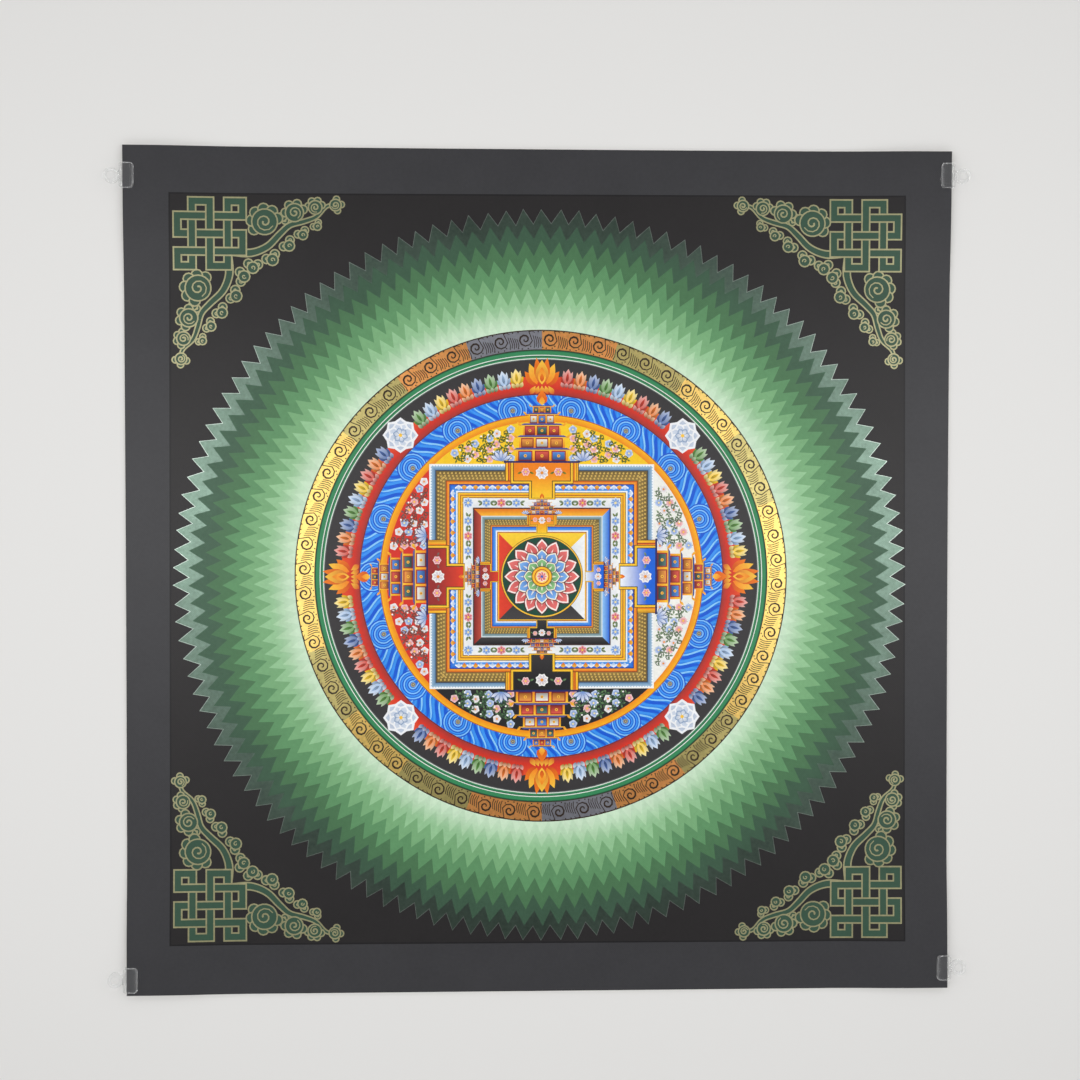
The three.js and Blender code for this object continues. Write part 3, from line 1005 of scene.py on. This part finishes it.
# Where the cloth rises, long edges are halved until they bend with it, and a grid fills the gaps
for _ in range(HALVINGS):
    start, end = spots[pairs].T
    middle = (start + end) / 2
    rises = np.max([lift(place, LIFT_SPREAD) for place in (start, middle, end)], axis=0) > 0
    halved = rises & (abs(end - start) > LIFT_GRID)
    fresh = len(spots) + np.arange(halved.sum())
    spots = np.concatenate([spots, middle[halved]])
    first, last = pairs[halved].T
    pairs = np.concatenate([pairs[~halved], np.c_[first, fresh], np.c_[fresh, last]])
near_clips = grid_inside(LIFT_GRID, LIFT_GRID)
near_clips = near_clips[lift(near_clips, LIFT_SPREAD) > 0]
cloth = outlines[0]
front, front_faces, _ = triangulate(
    np.concatenate([cloth, spots, near_clips]), (len(cloth) + pairs).tolist(), [list(range(len(cloth)))])
pieces = BVHTree.FromPolygons([(p.real, p.imag, 0) for p in cuts], cut_faces.tolist())
middles = front[front_faces].mean(axis=1)
owner = cut_owner[[pieces.find_nearest((p.real, p.imag, 0))[2] for p in middles]]

edges, _, uses = edges_of(front_faces)
rim = np.unique(edges[uses == 1])
rim = rim[np.argsort(np.angle(front[rim]))]
back_points = np.concatenate([front[rim], grid_inside(BACK_GRID, BACK_GRID)])
back, back_faces, _ = triangulate(back_points, [], [list(range(len(rim)))])

face_points = np.c_[front.real, front.imag, lift(front) + CANVAS["thickness"]]
points = np.concatenate([face_points, np.c_[back.real, back.imag, lift(back)]]) * MM
count = len(front)
loop = np.arange(len(rim))
after = np.roll(loop, -1)
rim_faces = np.c_[count + loop, count + after, rim[after], rim[loop]]
faces = front_faces.tolist() + (back_faces[:, ::-1] + count).tolist() + rim_faces.tolist()

sheet_mesh = bpy.data.meshes.new("painted_canvas")
sheet_mesh.from_pydata(points.tolist(), [], faces)
sheet = placed("painted_canvas", sheet_mesh)


def linear(pigment):
    share = np.asarray(pigment) / 255
    return np.where(share <= 0.04045, share / 12.92, ((share + 0.055) / 1.055) ** 2.4)


def column_of(key):
    return np.array([shape[key] for shape in painted])


# Each corner of a face takes the pigment of the shape painted there last, melted on the way to its second
kinds = np.repeat(np.int32([FRONT, BACK, RIM]), [len(front_faces), len(back_faces), len(rim)])
sheet_mesh.polygons.foreach_set("material_index", kinds)
corner_kinds = np.repeat(kinds, [len(face) for face in faces])
corner_owner = np.repeat(owner, 3)
start, way = column_of("start"), column_of("end") - column_of("start")
along = (front[front_faces.ravel()] - start[corner_owner]) * np.conj(way[corner_owner])
share = np.clip(along.real / abs(way[corner_owner]) ** 2, 0, 1)[:, None]
colours = np.ones((len(corner_kinds), 4))
colours[:, :3] = linear(CHARCOAL)
first, second = (linear(column_of(key))[corner_owner] for key in ("pigment", "second"))
colours[:len(share), :3] = first * (1 - share) + second * share
pigment_layer = sheet_mesh.attributes.new("pigment", "FLOAT_COLOR", "CORNER")
pigment_layer.data.foreach_set("color", colours.ravel().astype(np.float32))

# Each face takes its share of metal and of the halo's glow
for name in ("gilt", "glow"):
    values = np.zeros(len(faces), np.float32)
    values[:len(owner)] = column_of(name)[owner]
    layer = sheet_mesh.attributes.new(name, "FLOAT", "FACE")
    layer.data.foreach_set("value", values)

# The face takes most of the texture map, with the back and the rim in strips beside it
corner_points = np.array([loop_corner.vertex_index for loop_corner in sheet_mesh.loops])
across = points[corner_points, 0] / (CANVAS["width"] * MM) + 0.5
up = points[corner_points, 1] / (CANVAS["height"] * MM) + 0.5
start, width = np.array(MAP_ACROSS)[corner_kinds].T
round_rim = np.zeros(len(corner_points))
rim_start = len(corner_points) - 4 * len(rim)
round_rim[rim_start:] = np.c_[loop, loop + 1, loop + 1, loop].ravel() / len(rim)
over_rim = np.zeros(len(corner_points))
over_rim[rim_start:] = np.tile([0, 0, 1, 1], len(rim))
map_x = start + width * np.where(corner_kinds == RIM, over_rim, across)
map_y = MAP_UP[0] + MAP_UP[1] * np.where(corner_kinds == RIM, round_rim, up)
uv_layer = sheet_mesh.uv_layers.new(name="OFBake")
uv_layer.data.foreach_set("uv", np.c_[map_x, map_y].ravel().astype(np.float32))
sheet_mesh.update()
sheet_mesh.set_sharp_from_angle(angle=math.radians(SHARP_DEGREES))


def new_group(name, inputs, outputs):
    group = bpy.data.node_groups.new(name, "ShaderNodeTree")
    for socket, kind, value in inputs:
        group.interface.new_socket(socket, in_out="INPUT", socket_type=kind).default_value = value
    for socket, kind in outputs:
        group.interface.new_socket(socket, in_out="OUTPUT", socket_type=kind)
    return group, group.nodes.new("NodeGroupInput"), group.nodes.new("NodeGroupOutput")


def bump(tree, height, strength, distance):
    return node(tree, "Bump", {"Height": height, "Strength": strength, "Distance": distance})["Normal"]


# Plain weave: threads cross over and under each other, so the cloth's height rises and falls both ways
weave, weave_in, weave_out = new_group(
    "plain_weave", [("Threads per Metre", "NodeSocketFloat", THREADS_PER_METRE)],
    [("Height", "NodeSocketFloat")])
parts = node(weave, "SeparateXYZ", [node(weave, "TexCoord")["Object"]])
waves = []
for direction in ("X", "Y"):
    turns = node(weave, "Math", [parts[direction], weave_in.outputs[0]], operation="MULTIPLY")[0]
    angle = node(weave, "Math", [turns, math.pi], operation="MULTIPLY")[0]
    waves.append(node(weave, "Math", [angle], operation="SINE")[0])
crossing = node(weave, "Math", waves, operation="MULTIPLY")[0]
shifted = node(weave, "Math", [crossing, 0.5, 0.5], operation="MULTIPLY_ADD")[0]
set_inputs(weave, weave_out, {"Height": shifted})

# Brushwork: pigment dries a little lighter and darker in patches and in fine streaks
brush, brush_in, brush_out = new_group(
    "brushwork",
    [("Color", "NodeSocketColor", (1, 1, 1, 1)), ("Strength", "NodeSocketFloat", 0.2)],
    [("Color", "NodeSocketColor"), ("Streaks", "NodeSocketFloat")])
spot = node(brush, "TexCoord")["Object"]
patches = node(brush, "TexNoise", {"Vector": spot, "Scale": PATCH_SCALE, "Detail": 4.0})[0]
streaks = node(brush, "TexNoise", {"Vector": spot, "Scale": STREAK_SCALE, "Detail": 3.0})[0]
both = node(brush, "Math", [patches, streaks], operation="ADD")[0]
centred = node(brush, "Math", [both, -1.0], operation="ADD")[0]
scaled = node(brush, "Math", [centred, brush_in.outputs["Strength"], 1.0], operation="MULTIPLY_ADD")[0]
toned = node(brush, "VectorMath", [brush_in.outputs["Color"], scaled], operation="MULTIPLY")[0]
set_inputs(brush, brush_out, {"Color": toned, "Streaks": streaks})

# Painted face: matt colour, with metal where gold and silver were laid
face_paint, tree, shader = surface("painted_face")
pigment = node(tree, "Attribute", attribute_name="pigment")["Color"]
gilt = node(tree, "Attribute", attribute_name="gilt")["Fac"]
glow = node(tree, "Attribute", attribute_name="glow")["Fac"]
middle = (CENTRE.real * MM, CENTRE.imag * MM, 0.0)
away = node(tree, "VectorMath", [node(tree, "TexCoord")["Object"], middle], operation="DISTANCE")["Value"]
reach = node(tree, "MapRange", {"Value": away, "From Min": GLOW["start"] * MM, "From Max": GLOW["full"] * MM,
                                "To Max": GLOW["strength"]}, interpolation_type="SMOOTHSTEP")[0]
share = node(tree, "Math", [reach, glow], operation="MULTIPLY")[0]
white = (*linear(GLOW["white"]), 1)
glowing = node(tree, "Mix", {"Factor": share, MIX_FIRST: pigment, MIX_SECOND: white}, data_type="RGBA")
uneven = node(tree, "MapRange", {"Value": gilt, "To Min": UNEVEN["pigment"], "To Max": UNEVEN["metal"]})[0]
brushed = node(tree, "Group", {"Color": glowing[MIX_RESULT], "Strength": uneven}, node_tree=brush)
threads = node(tree, "Group", {"Threads per Metre": THREADS_PER_METRE}, node_tree=weave)["Height"]
dull = node(tree, "MapRange", {"Value": gilt, "To Min": DULL["pigment"], "To Max": DULL["metal"]})[0]
relief = node(tree, "Math", [threads, brushed["Streaks"]], operation="ADD")[0]
set_inputs(tree, shader, {
    "Base Color": brushed["Color"], "Metallic": gilt, "Roughness": dull, "Specular IOR Level": 0.32,
    "Normal": bump(tree, relief, strength=0.12, distance=0.0004)})
sheet_mesh.materials.append(face_paint)

# Bare back and cut edge: unbleached cotton with a thin wash of primer
for name, colour, uneven, roughness in COTTON:
    cotton, tree, shader = surface(name)
    brushed = node(tree, "Group", {"Color": colour, "Strength": uneven}, node_tree=brush)
    threads = node(tree, "Group", {"Threads per Metre": THREADS_PER_METRE}, node_tree=weave)["Height"]
    set_inputs(tree, shader, {
        "Base Color": brushed["Color"], "Roughness": roughness,
        "Normal": bump(tree, threads, strength=0.6, distance=0.0005)})
    sheet_mesh.materials.append(cotton)

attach(sheet, "root")
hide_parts("canvas")


# Clips: four clear plastic clips moulded in one piece, pushed over the side edges of the canvas near its
# corners. Two jaws take the edge between them, a raised lip ends the upper one, and a short neck joins
# the bow to a round thumb knob with a dished top.
JAW = {"inner": -9.0, "outer": 3.0, "half_width": 10.0, "corner": 3.2, "thickness": 1.6, "slot_end": 1.0}
OVERLAP = 0.3
CLIP_HEIGHT = 5.1
BOW_RADIUS = 1.9
LIP = {"foot": -6.4, "crest": -7.9, "height": 6.2}
NECK = {"start": 1.6, "end": 5.0, "half_width": 3.3, "low": 0.95, "high": 4.15}
KNOB = {"centre": 9.0, "radius": 6.0, "edge": 1.1, "rim": 1.3, "dish": 1.2, "core": 0.3}
KNOB_STEPS = 64
BAR_STEPS = 40
ROUND_STEPS = 7
CLIP_GRAIN = 0.26
SOFTENING = {"factor": 0.5, "rounds": 4}
PLASTIC = (0.955, 0.97, 0.975, 1)
# This grey is painted shade, laid into the clip's creases
PAINTED_SHADE_GREY = (0.36, 0.38, 0.39, 1)
# Convex edges are drawn whiter and less clear as a painted highlight, and creases grey as painted shade
EDGE_HIGHLIGHT = {"from": 0.503, "to": 0.55, "least": 0.1, "most": 0.95}
CREASE_SHADE = {"from": 0.498, "to": 0.472, "most": 0.75}
POLISH = {"least": 0.03, "most": 0.12, "scuff_scale": 300.0}


def quarter_turn(centre, radius, start):
    return centre + radius * turned(start + np.linspace(0, 90, ROUND_STEPS))


def bar(first, last, underside, top_side):
    rings = []
    for x in np.linspace(first, last, BAR_STEPS):
        into = max(0, min(x - JAW["inner"], JAW["outer"] - x))
        short = max(0, JAW["corner"] - into)
        half = JAW["half_width"] - JAW["corner"] + math.sqrt(JAW["corner"] ** 2 - short ** 2)
        low, high = underside(x), top_side(x)
        rings.append(np.array([(x, -half, low), (x, half, low), (x, half, high), (x, -half, high)]))
    return rings


def round_over(x):
    past = max(0, x - (JAW["outer"] - BOW_RADIUS))
    return BOW_RADIUS - math.sqrt(max(0, BOW_RADIUS ** 2 - past ** 2))


def lip_top(x):
    return np.interp(x, [LIP["crest"], LIP["foot"]], [LIP["height"], CLIP_HEIGHT])


def jaws():
    inner, bow, thick = JAW["inner"], JAW["slot_end"], JAW["thickness"]
    upper = bar(inner, bow + OVERLAP, lambda x: CLIP_HEIGHT - thick, lip_top)
    lower = bar(inner, bow + OVERLAP, lambda x: 0.0, lambda x: thick)
    back = bar(bow, JAW["outer"], round_over, lambda x: CLIP_HEIGHT - round_over(x))
    return [upper, lower, back]


def neck():
    y, low, high = NECK["half_width"], NECK["low"], NECK["high"]
    ring = [(-y, low), (y, low), (y, high), (-y, high)]
    return [np.array([(x, *corner) for corner in ring]) for x in (NECK["start"], NECK["end"])]


def knob():
    flat = KNOB["radius"] - KNOB["edge"]
    bottom = quarter_turn(flat + 1j * KNOB["edge"], KNOB["edge"], -90)
    top = quarter_turn(flat + 1j * (CLIP_HEIGHT - KNOB["edge"]), KNOB["edge"], 0)
    floor_of_dish = flat - KNOB["rim"] + 1j * (CLIP_HEIGHT - KNOB["dish"])
    middle = [floor_of_dish, KNOB["core"] + 1j * floor_of_dish.imag]
    around = circle(0, 1, KNOB_STEPS)
    rings = []
    for point in np.concatenate([[KNOB["core"]], bottom, top, middle]):
        rings.append(np.c_[KNOB["centre"] + point.real * around.real, point.real * around.imag,
                           np.full(KNOB_STEPS, point.imag)])
    return rings


# Each shape is a stack of rings with closed ends; all are then fused into one moulded skin
moulding = bmesh.new()
for rings in (*jaws(), neck(), knob()):
    stack = [[moulding.verts.new(point * MM) for point in ring] for ring in rings]
    for low_ring, high_ring in zip(stack, stack[1:]):
        for number in range(len(low_ring)):
            after = (number + 1) % len(low_ring)
            moulding.faces.new((low_ring[number], low_ring[after], high_ring[after], high_ring[number]))
    moulding.faces.new(stack[0][::-1])
    moulding.faces.new(stack[-1])
bmesh.ops.recalc_face_normals(moulding, faces=moulding.faces)
mould_mesh = bpy.data.meshes.new("clip_mould")
moulding.to_mesh(mould_mesh)
moulding.free()
mould = placed("clip_mould", mould_mesh)
fuse = mould.modifiers.new("fuse", "REMESH")
fuse.mode = "VOXEL"
fuse.voxel_size = CLIP_GRAIN * MM
soften = mould.modifiers.new("soften", "SMOOTH")
soften.factor = SOFTENING["factor"]
soften.iterations = SOFTENING["rounds"]
moulded = bpy.data.meshes.new_from_object(mould.evaluated_get(bpy.context.evaluated_depsgraph_get()))
bpy.data.objects.remove(mould)
moulded.polygons.foreach_set("use_smooth", np.ones(len(moulded.polygons), bool))

# Clear on the flat, with a painted highlight that makes it whiter and less clear along its convex edges, and
# painted shade that greys its creases
clear_plastic, tree, shader = surface("clear_plastic")
form = node(tree, "NewGeometry")["Pointiness"]
# edge is the painted highlight along the convex edges, and the next value is the painted shade in the
# creases
edge = node(tree, "MapRange", {"Value": form, "From Min": EDGE_HIGHLIGHT["from"], "From Max": EDGE_HIGHLIGHT["to"],
                               "To Min": EDGE_HIGHLIGHT["least"], "To Max": EDGE_HIGHLIGHT["most"]})[0]
crease_shade = node(tree, "MapRange", {"Value": form, "From Min": CREASE_SHADE["from"], "From Max": CREASE_SHADE["to"],
                                 "To Max": CREASE_SHADE["most"]})[0]
highlight_and_shade_cover = node(tree, "Math", [edge, crease_shade], operation="MAXIMUM")[0]
shaded = node(tree, "Mix", {"Factor": crease_shade, MIX_FIRST: PLASTIC, MIX_SECOND: PAINTED_SHADE_GREY},
              data_type="RGBA")[MIX_RESULT]
spot = node(tree, "TexCoord")["Object"]
scuffs = node(tree, "TexNoise", {"Vector": spot, "Scale": POLISH["scuff_scale"], "Detail": 3.0})[0]
polish = node(tree, "MapRange", {"Value": scuffs, "To Min": POLISH["least"], "To Max": POLISH["most"]})[0]
set_inputs(tree, shader, {
    "Base Color": shaded, "Roughness": polish, "Alpha": highlight_and_shade_cover, "Transmission Weight": 0.75, "IOR": 1.49,
    "Normal": bump(tree, scuffs, strength=0.03, distance=0.0002)})

for name, flank, height in CLIPS:
    clip_mesh = moulded.copy()
    turn_round = Matrix.Rotation(0 if flank > 0 else math.pi, 4, "Z")
    clip_mesh.transform(Matrix.Translation((flank * CANVAS["width"] / 2 * MM, height * MM, 0)) @ turn_round)
    clip_mesh.materials.append(clear_plastic)
    clip = placed(name, clip_mesh)
    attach(clip, "root")
    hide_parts(name)


# The size of the CAD model and of the dressed one, gathered in one table
sizes = {"cad": cad_box, "visual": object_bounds()}
{name: [list(corner) for corner in box] for name, box in sizes.items()}
